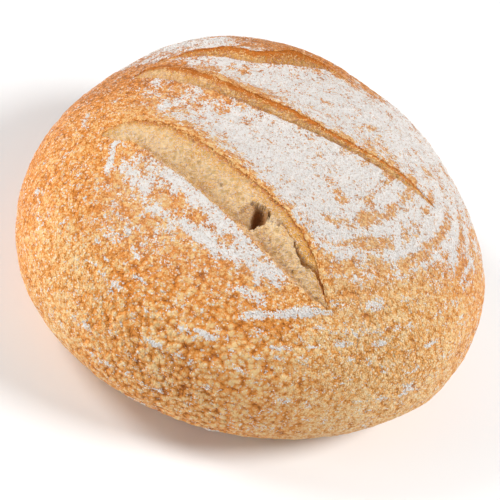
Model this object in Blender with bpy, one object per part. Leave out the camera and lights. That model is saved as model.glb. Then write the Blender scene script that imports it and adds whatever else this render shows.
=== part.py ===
"""A round sourdough hearth loaf, floured in its proving basket and slashed three times.

One closed solid in metres, +Z up. The loaf stands on its flat base, with the origin under
the middle of its plan. Each slash has opened into a crescent of crumb: its front lip is
the edge of the crust panel before it, and its back edge stands up as a thin ear.
"""

import math

import bmesh
import bpy
from mathutils import Vector
from mathutils.geometry import delaunay_2d_cdt

MM = 0.001

# The body, in metres.
PLAN_RADIUS = 0.120
BELLY_HEIGHT = 0.036  # from the base up to the widest level
DOME_RISE = 0.0775  # from the widest level up to the crown
DOME_FULLNESS = 2.3  # 2 is an ellipse, and more is squarer in the shoulder
BELLY_CURVE = 0.058  # how fast the underside turns in below the widest level
BASE_ROUNDING = 0.007
BASE_EVENNESS = 0.6  # how much rounder the base is than the belly over it
PLAN_LOBES = ((2, 0.0087, -0.0039), (3, 0.025, -0.0241))  # waves round the plan, cosine, sine
PLAN_FLAT = (24, 18, 0.0027)  # a flatter stretch: its direction and half width in degrees, depth
DENTS = (  # shallow hollows of the dome: x, y and radius in millimetres, depth in metres
    (-93, 37, 23, 0.0036),
    (27, 80, 20, 0.0028),
)
DENT_FADE = 0.030  # height over the belly at which a dent has its full depth

# How finely the surface is divided.
PANEL_STEP = 0.0058
SIDE_POINTS = 132
SHOULDER = 0.80  # share of the plan radius where the slashed top meets the plain side
CUT_STATIONS = 56
ROW_EASE = 1.3  # over 1 brings the rows inside an opening nearer to its front lip
LEAST_ROW = 0.0004  # a stretch too narrow for rows this far apart has none

# Each slash, in millimetres from the middle of the plan, from its left tip to its right.
# A station is (front x, front y, ear x, ear y, rise of the ear, depth of the valley).
FRONT_SLASH = (
    (-83, -31, -83, -31, 0.0, 0.0),
    (-76, -35.5, -77, -26, 2.0, 1.0),
    (-66, -37, -66, -25, 4.0, 2.4),
    (-52, -45, -52, -28.5, 6.0, 3.6),
    (-33, -54, -32, -36, 7.0, 4.2),
    (-12, -64, -11, -45, 7.0, 4.4),
    (6, -71.5, 9, -53, 6.0, 4.4),
    (20, -77, 24, -62.5, 5.4, 4.2),
    (32, -80, 35, -72.5, 3.4, 3.0),
    (43, -80.5, 43, -80.5, 0.0, 0.0),
)
MIDDLE_SLASH = (
    (-85, 19, -85, 19, 0.0, 0.0),
    (-76, 15.5, -77, 26, 2.4, 0.8),
    (-62, 11.5, -62, 19.5, 5.0, 2.0),
    (-46, 9, -46, 15.5, 5.6, 2.6),
    (-28, 5.7, -27, 10, 5.8, 2.8),
    (-6, 2.6, -5, 8.3, 5.4, 3.0),
    (14, 1.2, 16, 5, 4.4, 3.0),
    (36, -0.7, 38, 3.2, 3.6, 2.4),
    (56, -2.5, 58, 2.5, 2.6, 1.6),
    (79, -2, 79, -2, 0.0, 0.0),
)
BACK_SLASH = (
    (-84, 36, -84, 36, 0.0, 0.0),
    (-71, 35.8, -71, 37.4, 1.6, 0.6),
    (-57, 39.4, -57, 42.6, 4.6, 1.6),
    (-44, 42, -44, 46.6, 6.6, 2.2),
    (-31, 42.5, -30, 48, 6.4, 2.6),
    (-16, 49, -15, 55, 8.6, 2.8),
    (-2, 58, -1, 63, 4.6, 2.2),
    (8, 64, 9, 67, 2.2, 1.2),
    (20, 68, 20, 68, 0.0, 0.0),
)
# Each slash's stations, how far behind its edge the ear takes to fall back to the dome, and
# how many rows of points lie in its opening.
SLASHES = (
    (FRONT_SLASH, 0.022, 7),
    (MIDDLE_SLASH, 0.018, 4),
    (BACK_SLASH, 0.014, 4),
)

LIP_RISE = 0.0014
LIP_REACH = 0.012
VALLEY_AT = 0.2  # share of the way from the front lip to the ear
CRUMB_BULGE = 0.0012
HOLE_MIDDLE = (-0.0015, -0.0575)  # the one large air hole, in the front slash
HOLE_RADIUS = 0.0056
HOLE_DEPTH = 0.0055

CRUST_COLOUR = (0.56, 0.26, 0.09, 1.0)
CRUMB_COLOUR = (0.72, 0.47, 0.22, 1.0)


def clear_scene():
    for old in list(bpy.data.objects):
        bpy.data.objects.remove(old, do_unlink=True)


def finish(name, colour, roughness):
    material = bpy.data.materials.new(name)
    material.use_nodes = True
    shader = material.node_tree.nodes["Principled BSDF"]
    shader.inputs["Base Color"].default_value = colour
    shader.inputs["Roughness"].default_value = roughness
    shader.inputs["Metallic"].default_value = 0.0
    return material


def plan_radius(angle):
    swell = sum(c * math.cos(n * angle) + s * math.sin(n * angle) for n, c, s in PLAN_LOBES)
    direction, half_width, depth = PLAN_FLAT
    off = math.remainder(math.degrees(angle) - direction, 360) / half_width
    return PLAN_RADIUS * (1 + swell) - depth * math.exp(-(off**2))


def side_radius(angle, share, height):
    """Radius of the side at a height. The lobes fade below the belly, where the dough lay flat."""
    below = max(0.0, 1 - height / BELLY_HEIGHT)
    lobed = plan_radius(angle)
    return share * (lobed + (PLAN_RADIUS - lobed) * BASE_EVENNESS * below)


def settled(x, y, height):
    """A height of the dome once the dents are taken off it."""
    strength = max(0.0, min(1.0, (height - BELLY_HEIGHT) / DENT_FADE))
    for dx, dy, radius, depth in DENTS:
        gap = math.hypot(x / MM - dx, y / MM - dy) / radius
        height -= strength * depth * math.exp(-(gap**2))
    return height


def dome_height(x, y):
    """Height of the unslashed dome over a point of the plan."""
    share = math.hypot(x, y) / plan_radius(math.atan2(y, x))
    crown = max(0.0, 1 - share**DOME_FULLNESS)
    return settled(x, y, BELLY_HEIGHT + DOME_RISE * crown ** (1 / DOME_FULLNESS))


def side_profile():
    """(share of the plan radius, height) from the shoulder, round the belly, to the base."""
    samples = []
    for k in range(181):
        turn = math.radians(k / 2)
        share = math.sin(turn) ** (2 / DOME_FULLNESS)
        if share > SHOULDER:
            height = DOME_RISE * max(0.0, math.cos(turn)) ** (2 / DOME_FULLNESS)
            samples.append((share, BELLY_HEIGHT + height))
    turn_in = math.acos((BELLY_HEIGHT - BASE_ROUNDING / 2) / BELLY_CURVE)
    for k in range(1, 91):
        turn = math.pi / 2 - (math.pi / 2 - turn_in) * k / 90
        samples.append((math.sin(turn), BELLY_HEIGHT - BELLY_CURVE * math.cos(turn)))
    end_share, end_height = samples[-1]
    for k in range(1, 7):
        bend = math.pi / 2 * k / 6
        tuck = BASE_ROUNDING / PLAN_RADIUS * math.sin(bend)
        samples.append((end_share - tuck, end_height * (1 - math.sin(bend) ** 2)))
    return samples


def evenly(samples, step):
    """The profile's points at even distances along it, both ends kept."""
    lengths = [0.0]
    for (a, low), (b, high) in zip(samples, samples[1:]):
        lengths.append(lengths[-1] + math.hypot((b - a) * PLAN_RADIUS, high - low))
    count = round(lengths[-1] / step)
    picked = []
    at = 0
    for k in range(1, count):
        want = lengths[-1] * k / count
        while lengths[at + 1] < want:
            at += 1
        mix = (want - lengths[at]) / (lengths[at + 1] - lengths[at])
        picked.append(tuple(p + (q - p) * mix for p, q in zip(samples[at], samples[at + 1])))
    return [samples[0]] + picked + [samples[-1]]


def station_at(slash, share):
    """The slash's values at a share of its length, on a smooth curve through its stations."""
    place = share * (len(slash) - 1)
    k = min(int(place), len(slash) - 2)
    t = place - k
    before, a, b, after = (
        slash[max(k - 1, 0)],
        slash[k],
        slash[k + 1],
        slash[min(k + 2, len(slash) - 1)],
    )
    values = []
    for p, q, r, s in zip(before, a, b, after):
        slope_in, slope_out = (r - p) / 2, (s - q) / 2
        rest = 3 * (r - q) - 2 * slope_in - slope_out
        values.append(q + slope_in * t + rest * t**2 + (slope_in + slope_out - 2 * (r - q)) * t**3)
    return [value * MM for value in values]


class Slash:
    """One slash: its two edges as points, with the ear's rise and the valley's depth at each."""

    def __init__(self, slash, ear_reach, rows):
        stations = [station_at(slash, k / CUT_STATIONS) for k in range(CUT_STATIONS + 1)]
        self.ear_reach = ear_reach
        self.rows = [((k + 1) / (rows + 1)) ** ROW_EASE for k in range(rows)]
        self.front = [(s[0], s[1]) for s in stations]
        self.ear = [(s[2], s[3]) for s in stations]
        self.rise = [max(0.0, s[4]) for s in stations]
        self.depth = [max(0.0, s[5]) for s in stations]

    def nearest(self, edge, x, y):
        """(distance to an edge, the point's number along it)."""
        gaps = [math.hypot(x - px, y - py) for px, py in edge]
        number = min(range(len(gaps)), key=gaps.__getitem__)
        return gaps[number], number

    def lift(self, x, y):
        """How far a crust panel beside this slash is pushed up at a point of the plan."""
        to_ear, e = self.nearest(self.ear, x, y)
        to_lip, f = self.nearest(self.front, x, y)
        behind = self.rise[e] * fall(to_ear / self.ear_reach)
        before = min(LIP_RISE, self.depth[f]) * fall(to_lip / LIP_REACH)
        return behind if y > self.ear[e][1] and to_ear < to_lip else before

    def crumb(self, k, share):
        """Height over the dome inside the opening, at a share of the way to the ear."""
        lip = min(LIP_RISE, self.depth[k])
        ramp = lip + (self.rise[k] - lip) * share**1.2
        valley = share / VALLEY_AT * math.exp(1 - share / VALLEY_AT)
        bulge = CRUMB_BULGE * math.sin(math.pi * share) ** 2 * min(1.0, self.depth[k] / LIP_RISE)
        return ramp + bulge - self.depth[k] * valley

    def holds(self, x, y, margin):
        """Whether a point of the plan is in the opening, or nearer to it than the margin."""
        to_ear, e = self.nearest(self.ear, x, y)
        to_lip, f = self.nearest(self.front, x, y)
        return (self.front[f][1] < y < self.ear[e][1]) or min(to_ear, to_lip) < margin


def fall(share):
    """1 at an edge, easing to 0 at its reach."""
    return (1 - min(share, 1.0)) ** 2 * (1 + 2 * min(share, 1.0) * 0.35)


def hole(x, y):
    gap = math.hypot(x - HOLE_MIDDLE[0], y - HOLE_MIDDLE[1]) / HOLE_RADIUS
    return -HOLE_DEPTH * max(0.0, 1 - gap**2) ** 0.5


def top_points(slashes):
    """Plan points of the slashed top, their heights, and the edges that the mesh must keep."""
    points, heights, edges = [], [], []

    def add(x, y, height):
        points.append(Vector((x, y)))
        heights.append(height)
        return len(points) - 1

    def others(x, y, mine):
        return sum(slash.lift(x, y) for slash in slashes if slash is not mine)

    for k in range(SIDE_POINTS):
        angle = 2 * math.pi * k / SIDE_POINTS
        reach = SHOULDER * plan_radius(angle)
        x, y = reach * math.cos(angle), reach * math.sin(angle)
        add(x, y, dome_height(x, y) + others(x, y, None))
        edges.append((k, (k + 1) % SIDE_POINTS))

    for slash in slashes:
        front_line, ear_line = [], []
        for k in range(CUT_STATIONS + 1):
            (fx, fy), (ex, ey) = slash.front[k], slash.ear[k]
            width = math.hypot(ex - fx, ey - fy)
            base = dome_height(ex, ey) + others(ex, ey, slash)
            ear_line.append(add(ex, ey, base + slash.rise[k]))
            if k in (0, CUT_STATIONS):
                front_line.append(ear_line[-1])
                continue
            base = dome_height(fx, fy) + others(fx, fy, slash)
            front_line.append(add(fx, fy, base + min(LIP_RISE, slash.depth[k])))
            for share in slash.rows if width * slash.rows[0] > LEAST_ROW else ():
                x, y = fx + (ex - fx) * share, fy + (ey - fy) * share
                base = dome_height(x, y) + others(x, y, slash)
                add(x, y, base + slash.crumb(k, share) + hole(x, y))
        for line in (front_line, ear_line):
            edges.extend(zip(line, line[1:]))

    rings = round(SHOULDER * PLAN_RADIUS / PANEL_STEP)
    add_crown = [(0.0, 0.0)]
    for ring in range(1, rings):
        share = SHOULDER * ring / rings
        count = round(2 * math.pi * share * PLAN_RADIUS / PANEL_STEP)
        for k in range(count):
            angle = 2 * math.pi * (k + 0.5 * (ring % 2)) / count
            reach = share * plan_radius(angle)
            add_crown.append((reach * math.cos(angle), reach * math.sin(angle)))
    for x, y in add_crown:
        if not any(slash.holds(x, y, PANEL_STEP * 0.5) for slash in slashes):
            add(x, y, dome_height(x, y) + others(x, y, None))
    return points, heights, edges


def make_loaf():
    slashes = [Slash(*slash) for slash in SLASHES]
    points, heights, edges = top_points(slashes)
    flat, _, faces, sources, _, _ = delaunay_2d_cdt(points, edges, [], 0, 1e-7)
    mesh = bmesh.new()
    verts = []
    for place, source in zip(flat, sources):
        verts.append(mesh.verts.new((place.x, place.y, heights[source[0]])))
    for face in faces:
        made = mesh.faces.new([verts[k] for k in face])
        middle = made.calc_center_median()
        made.material_index = int(any(slash.holds(middle.x, middle.y, 0.0) for slash in slashes))

    # The side runs from the top's rim down to the base, ring under ring.
    ring = verts[:SIDE_POINTS]
    for share, height in evenly(side_profile(), PANEL_STEP)[1:]:
        lower = []
        for k in range(SIDE_POINTS):
            angle = 2 * math.pi * k / SIDE_POINTS
            reach = side_radius(angle, share, height)
            x, y = reach * math.cos(angle), reach * math.sin(angle)
            lower.append(mesh.verts.new((x, y, settled(x, y, height))))
        for k in range(SIDE_POINTS):
            after = (k + 1) % SIDE_POINTS
            mesh.faces.new((ring[k], lower[k], lower[after], ring[after]))
        ring = lower
    mesh.faces.new(list(reversed(ring)))

    middle = plan_middle()
    bmesh.ops.translate(mesh, verts=mesh.verts, vec=(-middle[0], -middle[1], 0.0))
    bmesh.ops.recalc_face_normals(mesh, faces=mesh.faces)
    data = bpy.data.meshes.new("loaf")
    mesh.to_mesh(data)
    mesh.free()
    data.shade_smooth()
    data.set_sharp_from_angle(angle=math.radians(40))
    loaf = bpy.data.objects.new("loaf", data)
    bpy.context.scene.collection.objects.link(loaf)
    data.materials.append(finish("crust", CRUST_COLOUR, 0.72))
    data.materials.append(finish("crumb", CRUMB_COLOUR, 0.85))
    return loaf


def plan_middle():
    """The middle of the box round the plan, which becomes the origin."""
    turns = [2 * math.pi * k / SIDE_POINTS for k in range(SIDE_POINTS)]
    xs = [plan_radius(turn) * math.cos(turn) for turn in turns]
    ys = [plan_radius(turn) * math.sin(turn) for turn in turns]
    return (min(xs) + max(xs)) / 2, (min(ys) + max(ys)) / 2


clear_scene()
make_loaf()
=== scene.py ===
import math

import bpy
import numpy as np
from mathutils import Matrix, Vector
from mathutils.geometry import delaunay_2d_cdt


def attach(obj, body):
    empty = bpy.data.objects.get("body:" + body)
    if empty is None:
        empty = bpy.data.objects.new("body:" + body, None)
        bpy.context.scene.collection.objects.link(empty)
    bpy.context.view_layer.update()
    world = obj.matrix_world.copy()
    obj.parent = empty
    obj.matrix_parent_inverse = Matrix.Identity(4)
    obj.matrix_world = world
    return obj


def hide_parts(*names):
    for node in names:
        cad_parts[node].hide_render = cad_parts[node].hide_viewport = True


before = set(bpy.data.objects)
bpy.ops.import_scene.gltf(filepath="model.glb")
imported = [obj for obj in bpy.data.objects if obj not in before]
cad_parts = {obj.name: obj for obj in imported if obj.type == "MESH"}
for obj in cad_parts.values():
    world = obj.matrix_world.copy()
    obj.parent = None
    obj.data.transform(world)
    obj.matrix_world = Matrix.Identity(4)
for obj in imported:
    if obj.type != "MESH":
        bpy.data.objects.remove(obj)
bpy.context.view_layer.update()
print("frame loaded")

# Shapes are worked out in millimetres from the middle of the dough, and moved to the frame at the end.
mm = 0.001

loafShape = {
    "planRadius": 120.0,
    "bellyHeight": 36.0,  # from the board up to the widest level
    "domeRise": 77.5,  # from the widest level up to the crown
    "domeFullness": 2.3,  # 2 is an ellipse, more is squarer
    "bellyCurve": 58.0,  # how fast the underside turns in
    "baseRounding": 7.0,
    "baseEvenness": 0.6,
    "lobes": ((2, 0.0087, -0.0039), (3, 0.025, -0.0241)),  # waves round the plan, cosine and sine
    "flat": (24, 18, 2.7),  # a flatter stretch: direction and half width in degrees, depth
    "dents": ((-93, 37, 23, 3.6), (27, 80, 20, 2.8)),  # shallow hollows: x, y, radius, depth
    "dentFade": 30.0,
    "shoulder": 0.80,  # share of the plan radius where the cut top meets the plain side
}

# A station of a slash is (lip x, lip y, ear x, ear y, rise of the ear, depth of the valley).
slashCuts = {
    "front": {
        "earReach": 22.0,
        "stations": (
            (-83, -31, -83, -31, 0, 0), (-76, -35.5, -77, -26, 2.0, 1.0),
            (-66, -37, -66, -25, 4.0, 2.4), (-52, -45, -52, -28.5, 6.0, 3.6),
            (-33, -54, -32, -36, 7.0, 4.2), (-12, -64, -11, -45, 7.0, 4.4),
            (6, -71.5, 9, -53, 6.0, 4.4), (20, -77, 24, -62.5, 5.4, 4.2),
            (32, -80, 35, -72.5, 3.4, 3.0), (43, -80.5, 43, -80.5, 0, 0),
        ),
    },
    "middle": {
        "earReach": 18.0,
        "stations": (
            (-85, 19, -85, 19, 0, 0), (-76, 15.5, -77, 26, 2.4, 0.8),
            (-62, 11.5, -62, 19.5, 5.0, 2.0), (-46, 9, -46, 15.5, 5.6, 2.6),
            (-28, 5.7, -27, 10, 5.8, 2.8), (-6, 2.6, -5, 8.3, 5.4, 3.0),
            (14, 1.2, 16, 5, 4.4, 3.0), (36, -0.7, 38, 3.2, 3.6, 2.4),
            (56, -2.5, 58, 2.5, 2.6, 1.6), (79, -2, 79, -2, 0, 0),
        ),
    },
    "back": {
        "earReach": 14.0,
        "stations": (
            (-84, 36, -84, 36, 0, 0), (-71, 35.8, -71, 37.4, 1.6, 0.6),
            (-57, 39.4, -57, 42.6, 4.6, 1.6), (-44, 42, -44, 46.6, 6.6, 2.2),
            (-31, 42.5, -30, 48, 6.4, 2.6), (-16, 49, -15, 55, 8.6, 2.8),
            (-2, 58, -1, 63, 4.6, 2.2), (8, 64, 9, 67, 2.2, 1.2),
            (20, 68, 20, 68, 0, 0),
        ),
    },
}

openingShape = {
    "lipRise": 1.4,
    "lipReach": 12.0,
    "valleyAt": 0.2,  # share of the way from the lip to the ear
    "bulge": 1.2,
    "step": 0.9,  # between points along a cut
    "ragged": 0.45,  # how far a torn edge wanders
}


def planRadius(angle):
    swell = sum(c * np.cos(n * angle) + s * np.sin(n * angle) for n, c, s in loafShape["lobes"])
    direction, halfWidth, depth = loafShape["flat"]
    off = (np.degrees(angle) - direction + 180) % 360 - 180
    return loafShape["planRadius"] * (1 + swell) - depth * np.exp(-((off / halfWidth) ** 2))


def settled(x, y, height):
    strength = np.clip((height - loafShape["bellyHeight"]) / loafShape["dentFade"], 0, 1)
    for dx, dy, radius, depth in loafShape["dents"]:
        height = height - strength * depth * np.exp(-(((x - dx) ** 2 + (y - dy) ** 2) / radius**2))
    return height


def domeHeight(x, y):
    share = np.hypot(x, y) / planRadius(np.arctan2(y, x))
    crown = np.clip(1 - share ** loafShape["domeFullness"], 0, None)
    rise = loafShape["domeRise"] * crown ** (1 / loafShape["domeFullness"])
    return settled(x, y, loafShape["bellyHeight"] + rise)


def meridian():
    # (share of the plan radius, height, length along the crust from the crown), down to the base
    full, belly = loafShape["domeFullness"], loafShape["bellyHeight"]
    turn = np.radians(np.linspace(0, 90, 721))
    share = np.sin(turn) ** (2 / full)
    height = belly + loafShape["domeRise"] * np.clip(np.cos(turn), 0, None) ** (2 / full)
    turnIn = math.acos((belly - loafShape["baseRounding"] / 2) / loafShape["bellyCurve"])
    turn = np.linspace(math.pi / 2, turnIn, 181)[1:]
    share = np.append(share, np.sin(turn))
    height = np.append(height, belly - loafShape["bellyCurve"] * np.cos(turn))
    endShare, endHeight = share[-1], height[-1]
    bend = np.radians(np.linspace(0, 90, 25))[1:]
    tuck = loafShape["baseRounding"] / loafShape["planRadius"] * np.sin(bend)
    share = np.append(share, endShare - tuck)
    height = np.append(height, endHeight * (1 - np.sin(bend) ** 2))
    steps = np.hypot(np.diff(share) * loafShape["planRadius"], np.diff(height))
    return share, height, np.append(0, np.cumsum(steps))


def fall(share):
    share = np.clip(share, 0, 1)
    return (1 - share) ** 2 * (1 + 0.7 * share)


def smoothStations(stations, places):
    table = np.array(stations, float)
    last = len(table) - 1
    k = np.minimum(places.astype(int), last - 1)
    t = (places - k)[:, None]
    p, q, r, s = (table[np.clip(k + shift, 0, last)] for shift in (-1, 0, 1, 2))
    slopeIn, slopeOut = (r - p) / 2, (s - q) / 2
    rest = 3 * (r - q) - 2 * slopeIn - slopeOut
    return q + slopeIn * t + rest * t**2 + (slopeIn + slopeOut - 2 * (r - q)) * t**3


def wander(lengths, seed, waves=((11.0, 0.5), (5.3, 0.35), (2.7, 0.22), (1.6, 0.12))):
    # a ragged line: a few waves with fixed, unrelated phases
    return sum(
        size * np.sin(2 * math.pi * lengths / wave + 1.7 * seed + 2.9 * k)
        for k, (wave, size) in enumerate(waves)
    )


class Slash:
    def __init__(self, name, seed):
        cut = slashCuts[name]
        self.earReach = cut["earReach"]
        fine = np.linspace(0, len(cut["stations"]) - 1, 2000)
        table = smoothStations(cut["stations"], fine)
        middle = (table[:, 0:2] + table[:, 2:4]) / 2
        along = np.append(0, np.cumsum(np.hypot(*np.diff(middle, axis=0).T)))
        self.count = round(along[-1] / openingShape["step"])
        self.length = along[-1]
        self.along = np.linspace(0, along[-1], self.count + 1)
        table = smoothStations(cut["stations"], np.interp(self.along, along, fine))
        self.lip, self.ear = table[:, 0:2].copy(), table[:, 2:4].copy()
        self.rise, self.depth = np.clip(table[:, 4], 0, None), np.clip(table[:, 5], 0, None)
        across = self.ear - self.lip
        self.width = np.hypot(*across.T)
        tangent = np.gradient((self.lip + self.ear) / 2, axis=0)
        tangent /= np.hypot(*tangent.T)[:, None]
        self.across = np.stack([-tangent[:, 1], tangent[:, 0]], axis=1)
        wide = np.clip(self.width / 5, 0, 1)[:, None] * openingShape["ragged"]
        self.lip += self.across * wide * wander(self.along, seed)[:, None]
        self.ear += self.across * wide * wander(self.along, seed + 5)[:, None] * 1.2
        self.rise += 0.5 * wide[:, 0] * wander(self.along, seed + 9, ((17, 0.8), (7, 0.5), (3, 0.3)))
        self.lipLift = np.minimum(openingShape["lipRise"], self.depth)

    def nearest(self, edge, x, y):
        # distance to an edge and the fractional number of the place along it
        start, run = edge[:-1], np.diff(edge, axis=0)
        square = (run**2).sum(1)
        gaps, places = np.empty(len(x)), np.empty(len(x))
        for first in range(0, len(x), 4096):
            part = slice(first, first + 4096)
            dx, dy = x[part, None] - start[:, 0], y[part, None] - start[:, 1]
            t = np.clip((dx * run[:, 0] + dy * run[:, 1]) / square, 0, 1)
            gap = np.hypot(dx - t * run[:, 0], dy - t * run[:, 1])
            k = gap.argmin(1)
            row = np.arange(len(k))
            gaps[part], places[part] = gap[row, k], k + t[row, k]
        return gaps, places

    def at(self, values, places):
        return np.interp(places, np.arange(self.count + 1), values)

    def lift(self, x, y):
        # how far the crust beside this slash is pushed up
        toEar, e = self.nearest(self.ear, x, y)
        toLip, f = self.nearest(self.lip, x, y)
        behind = self.at(self.rise, e) * fall(toEar / self.earReach)
        before = self.at(self.lipLift, f) * fall(toLip / openingShape["lipReach"])
        return np.where((y > self.at(self.ear[:, 1], e)) & (toEar < toLip), behind, before)

    def outline(self):
        return np.concatenate([self.lip, self.ear[-2:0:-1]])

    def holds(self, x, y):
        ring = self.outline()
        after = np.roll(ring, -1, axis=0)
        inside = np.zeros(len(x), bool)
        for (ax, ay), (bx, by) in zip(ring, after):
            crosses = (ay > y) != (by > y)
            if ay != by:
                inside ^= crosses & (x < (bx - ax) * (y - ay) / (by - ay) + ax)
        return inside


slashes = [Slash(name, seed) for seed, name in enumerate(slashCuts)]
turns = 2 * math.pi * np.arange(132) / 132
xs, ys = planRadius(turns) * np.cos(turns), planRadius(turns) * np.sin(turns)
planMiddle = np.array([(xs.min() + xs.max()) / 2, (ys.min() + ys.max()) / 2, 0.0])
crustShare, crustHeight, crustLength = meridian()


def liftOfOthers(x, y, mine=None):
    return sum(slash.lift(x, y) for slash in slashes if slash is not mine)


class Wire:
    # an output socket that Python sums and products can use
    def __init__(self, net, socket):
        self.net = net
        self.socket = socket
        self.isVector = socket.type in ("VECTOR", "RGBA")

    def maths(self, operation, first, second):
        ends = (first, second)
        if any(isinstance(end, Wire) and end.isVector or isinstance(end, tuple) for end in ends):
            return self.net.add("ShaderNodeVectorMath", {"operation": operation}, {0: first, 1: second})
        return self.net.add("ShaderNodeMath", {"operation": operation}, {0: first, 1: second})

    def __add__(self, other):
        return self.maths("ADD", self, other)

    __radd__ = __add__

    def __sub__(self, other):
        return self.maths("SUBTRACT", self, other)

    def __rsub__(self, other):
        return self.maths("SUBTRACT", other, self)

    def __mul__(self, other):
        if self.isVector and not isinstance(other, tuple) and not getattr(other, "isVector", False):
            return self.net.add("ShaderNodeVectorMath", {"operation": "SCALE"}, {0: self, 3: other})
        return self.maths("MULTIPLY", self, other)

    __rmul__ = __mul__

    def __truediv__(self, other):
        return self.maths("DIVIDE", self, other)

    def __rtruediv__(self, other):
        return self.maths("DIVIDE", other, self)

    def __pow__(self, other):
        return self.maths("POWER", self, other)

    def beside(self, name):
        # another output of the same node
        return Wire(self.net, self.socket.node.outputs[name])

    def atMost(self, other):
        return self.maths("MINIMUM", self, other)

    def atLeast(self, other):
        return self.maths("MAXIMUM", self, other)

    def clamped(self):
        return self.net.add("ShaderNodeClamp", {}, {0: self})

    def eased(self, low, high):
        # 0 below low, 1 above high, smooth between
        return self.net.add(
            "ShaderNodeMapRange",
            {"interpolation_type": "SMOOTHSTEP"},
            {0: self, 1: low, 2: high, 3: 0.0, 4: 1.0},
        )


class Net:
    def __init__(self, tree):
        self.tree = tree

    def add(self, kind, settings=None, sockets=None, out=0):
        node = self.tree.nodes.new(kind)
        for name, value in (settings or {}).items():
            if name == "stops":
                ramp = node.color_ramp.elements
                while len(ramp) < len(value):
                    ramp.new(1.0)
                for stop, (place, colour) in zip(ramp, value):
                    stop.position, stop.color = place, colour
            else:
                setattr(node, name, value)
        for key, value in (sockets or {}).items():
            if isinstance(value, Wire):
                self.tree.links.new(value.socket, node.inputs[key])
            else:
                node.inputs[key].default_value = value
        return Wire(self, node.outputs[out]) if len(node.outputs) else node

    def mix(self, share, first, second):
        return self.add("ShaderNodeMix", {"data_type": "RGBA"}, {0: share, 6: first, 7: second}, 2)

    def noise(self, place, size, detail=2.0, rough=0.5, out=0):
        # size is the distance between lumps, in the units of place
        sockets = {"Vector": place, "Scale": 1 / size, "Detail": detail, "Roughness": rough}
        return self.add("ShaderNodeTexNoise", {}, sockets, out)

    def uneven(self, place, size, detail=2.0, rough=0.5):
        # noise about 0, mostly between -1 and 1
        return (self.noise(place, size, detail, rough) - 0.5) * 13


def colour(red, green, blue):
    return (red, green, blue, 1.0)


pebbles = {
    "bigSize": 4.6,  # millimetres between blisters, in three sizes
    "smallSize": 2.7,
    "grainSize": 0.95,
    "bend": 1.7,  # how far the cells are pulled out of round
}


def pebbleCells(net, rest, size):
    # rounded cells: height 1 on top and about 0 between them, and a random number for each
    pull = (net.noise(rest, size * 1.6, out=1) - (0.5, 0.5, 0.5)) * (pebbles["bend"] * size / 4)
    sockets = {"Vector": rest + pull, "Scale": 1 / size}
    node = net.add("ShaderNodeTexVoronoi", {"feature": "F1"}, sockets, "Distance")
    tint = net.add("ShaderNodeSeparateXYZ", {}, {0: node.beside("Color")})
    return 1 - (node * 1.25) ** 2, tint


def flourOn(net, rest, dust, grain):
    # where flour lies, grain by grain, for a share of cover
    patch = net.uneven(rest, 6.0) * 0.08
    clump = net.uneven(rest, 2.3, 4.0, 0.75) * 0.13
    speck = net.uneven(rest, 0.9, 2.0, 0.6) * 0.11
    return (dust - 0.5 - patch - clump - speck - (grain - 0.5) * 0.3).eased(-0.05, 0.07)


crustMesh = {
    "topStep": 1.08,  # between points of the slashed top
    "sideColumns": 552,
    "sideStep": 1.3,
    "baseRings": 7,
    "lipRoll": ((0.12, -0.15), (0.1, -0.6), (-0.3, -1.8)),  # (towards the opening, down)
    "earRoll": ((0.15, -0.15), (0.1, -0.45), (-1.2, -1.2)),
}


def topPlan():
    step, shoulder = crustMesh["topStep"], loafShape["shoulder"]
    rings = round(shoulder * loafShape["planRadius"] / step)
    x, y = [np.zeros(1)], [np.zeros(1)]
    for ring in range(1, rings):
        share = shoulder * ring / rings
        count = round(2 * math.pi * share * loafShape["planRadius"] / step)
        angle = 2 * math.pi * (np.arange(count) + 0.5 * (ring % 2)) / count
        reach = share * planRadius(angle)
        x.append(reach * np.cos(angle))
        y.append(reach * np.sin(angle))
    x, y = np.concatenate(x), np.concatenate(y)
    keep = np.ones(len(x), bool)
    for slash in slashes:
        near = np.minimum(slash.nearest(slash.ear, x, y)[0], slash.nearest(slash.lip, x, y)[0])
        keep &= ~slash.holds(x, y) & (near > step * 0.45)
    return x[keep], y[keep]


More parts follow.
